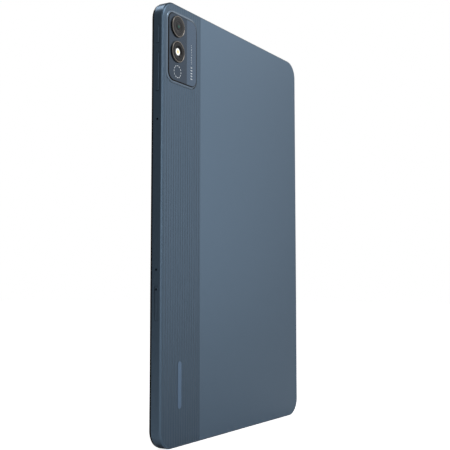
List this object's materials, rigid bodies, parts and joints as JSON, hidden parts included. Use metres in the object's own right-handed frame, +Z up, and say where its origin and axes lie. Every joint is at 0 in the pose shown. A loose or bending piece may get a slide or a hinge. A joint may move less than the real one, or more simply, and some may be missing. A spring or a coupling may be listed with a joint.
{
  "type": "tablet computer",
  "caption": "Slim ten-inch tablet computer with a metal back, a ribbed side band, a raised camera island, side keys, a card tray and a charging socket.",
  "frame": {"origin": "middle of the lower short edge, at half the body's thickness", "axes": "+Z up the long side towards the rear camera, -Y out of the back cover, +Y out of the screen, +X to the right seen from the back"},
  "size_m": [0.1599, 0.0092, 0.2407],
  "materials": {
    "housing_metal": "fine bead-blasted blue-grey anodising",
    "ribbed_cover": "fine upright ribs, satin blue-grey",
    "camera_cover": "smooth dark blue-grey, lighter on one side",
    "rim_metal": "bright cut bevel",
    "ring_metal": "polished grey-brown rings",
    "lens_glass": "black coated lens window",
    "flash_diffuser": "milky white diffuser",
    "flash_phosphor": "yellow lamp chip",
    "screen_glass": "polished black cover glass",
    "display_layer": "dark display cell",
    "light_guide": "white film stack",
    "black_plastic": "moulded black",
    "circuit_board": "green solder mask",
    "shield_steel": "stamped steel",
    "battery_pouch": "black wrapped foil pouch",
    "flex_film": "amber polyimide film",
    "copper_foil": "thin copper",
    "seal_rubber": "soft black seal",
    "screw_steel": "dark plated screws"
  },
  "bodies": {
    "tablet": {"rear_housing": "housing_metal", "ribbed_panel": "ribbed_cover", "camera_plate": "camera_cover", "camera_rim": "rim_metal", "lens_ring_main": "ring_metal", "lens_ring_flash": "ring_metal", "lens_glass_main": "lens_glass", "lens_glass_flash": "lens_glass", "flash_lens": "flash_diffuser", "flash_led": "flash_phosphor", "cover_glass": "screen_glass", "lcd_cell": "display_layer", "backlight": "light_guide", "front_frame": "black_plastic", "upper_speaker": "black_plastic", "lower_speaker": "black_plastic", "antenna_carrier": "black_plastic", "usb_tongue": "black_plastic", "main_board": "circuit_board", "socket_board": "circuit_board", "battery_board": "circuit_board", "processor_can": "shield_steel", "radio_can": "shield_steel", "power_can": "shield_steel", "rear_camera_can": "shield_steel", "front_camera": "shield_steel", "usb_shell": "shield_steel", "card_reader_shell": "shield_steel", "lever_pivot": "shield_steel", "key_bracket": "shield_steel", "power_switch": "shield_steel", "volume_up_switch": "shield_steel", "volume_down_switch": "shield_steel", "upper_microphone": "shield_steel", "lower_microphone": "shield_steel", "battery_cell_left": "battery_pouch", "battery_cell_right": "battery_pouch", "key_flex": "flex_film", "display_flex": "flex_film", "battery_lead": "flex_film", "board_link_flex": "flex_film", "rear_camera_flex": "flex_film", "heat_spreader": "copper_foil", "cellular_antenna": "copper_foil", "wireless_antenna": "copper_foil", "upper_speaker_mesh": "seal_rubber", "lower_speaker_mesh": "seal_rubber", "board_screw_1": "screw_steel", "board_screw_2": "screw_steel", "board_screw_3": "screw_steel", "board_screw_4": "screw_steel", "socket_board_screw_1": "screw_steel", "socket_board_screw_2": "screw_steel"},
    "power_key": {"power_button": "housing_metal"},
    "volume_key": {"volume_rocker": "housing_metal"},
    "tray": {"card_tray": "housing_metal", "tray_seal": "seal_rubber"},
    "ejector_rod": {"eject_rod": "shield_steel"},
    "ejector_lever": {"eject_lever": "shield_steel"},
    "lens_barrel": {"focus_barrel": "black_plastic"}
  },
  "joints": [
    {"name": "power_press", "type": "slide", "parent": "tablet", "child": "power_key", "axis": [1, 0, 0], "range_m": [0, 0.00025], "stiffness_N_per_m": 800},
    {"name": "volume_tilt", "type": "hinge", "parent": "tablet", "child": "volume_key", "pos_m": [-0.07895, -0.00038, 0.20045], "axis": [0, 1, 0], "range_deg": [-0.8, 0.8], "stiffness_Nm_per_rad": 0.045},
    {"name": "tray_slide", "type": "slide", "parent": "tablet", "child": "tray", "axis": [-1, 0, 0], "range_m": [0, 0.024]},
    {"name": "ejector_push", "type": "slide", "parent": "tablet", "child": "ejector_rod", "axis": [1, 0, 0], "range_m": [0, 0.0012]},
    {"name": "ejector_turn", "type": "hinge", "parent": "tablet", "child": "ejector_lever", "pos_m": [-0.0532, -0.00038, 0.0796], "axis": [0, 1, 0], "range_deg": [0, 17.5]},
    {"name": "focus_travel", "type": "slide", "parent": "tablet", "child": "lens_barrel", "axis": [0, -1, 0], "range_m": [0, 0.0003], "stiffness_N_per_m": 50}
  ],
  "couplings": [
    {"joint": "ejector_turn", "follows": "ejector_push", "rad_per_m": 250}
  ]
}
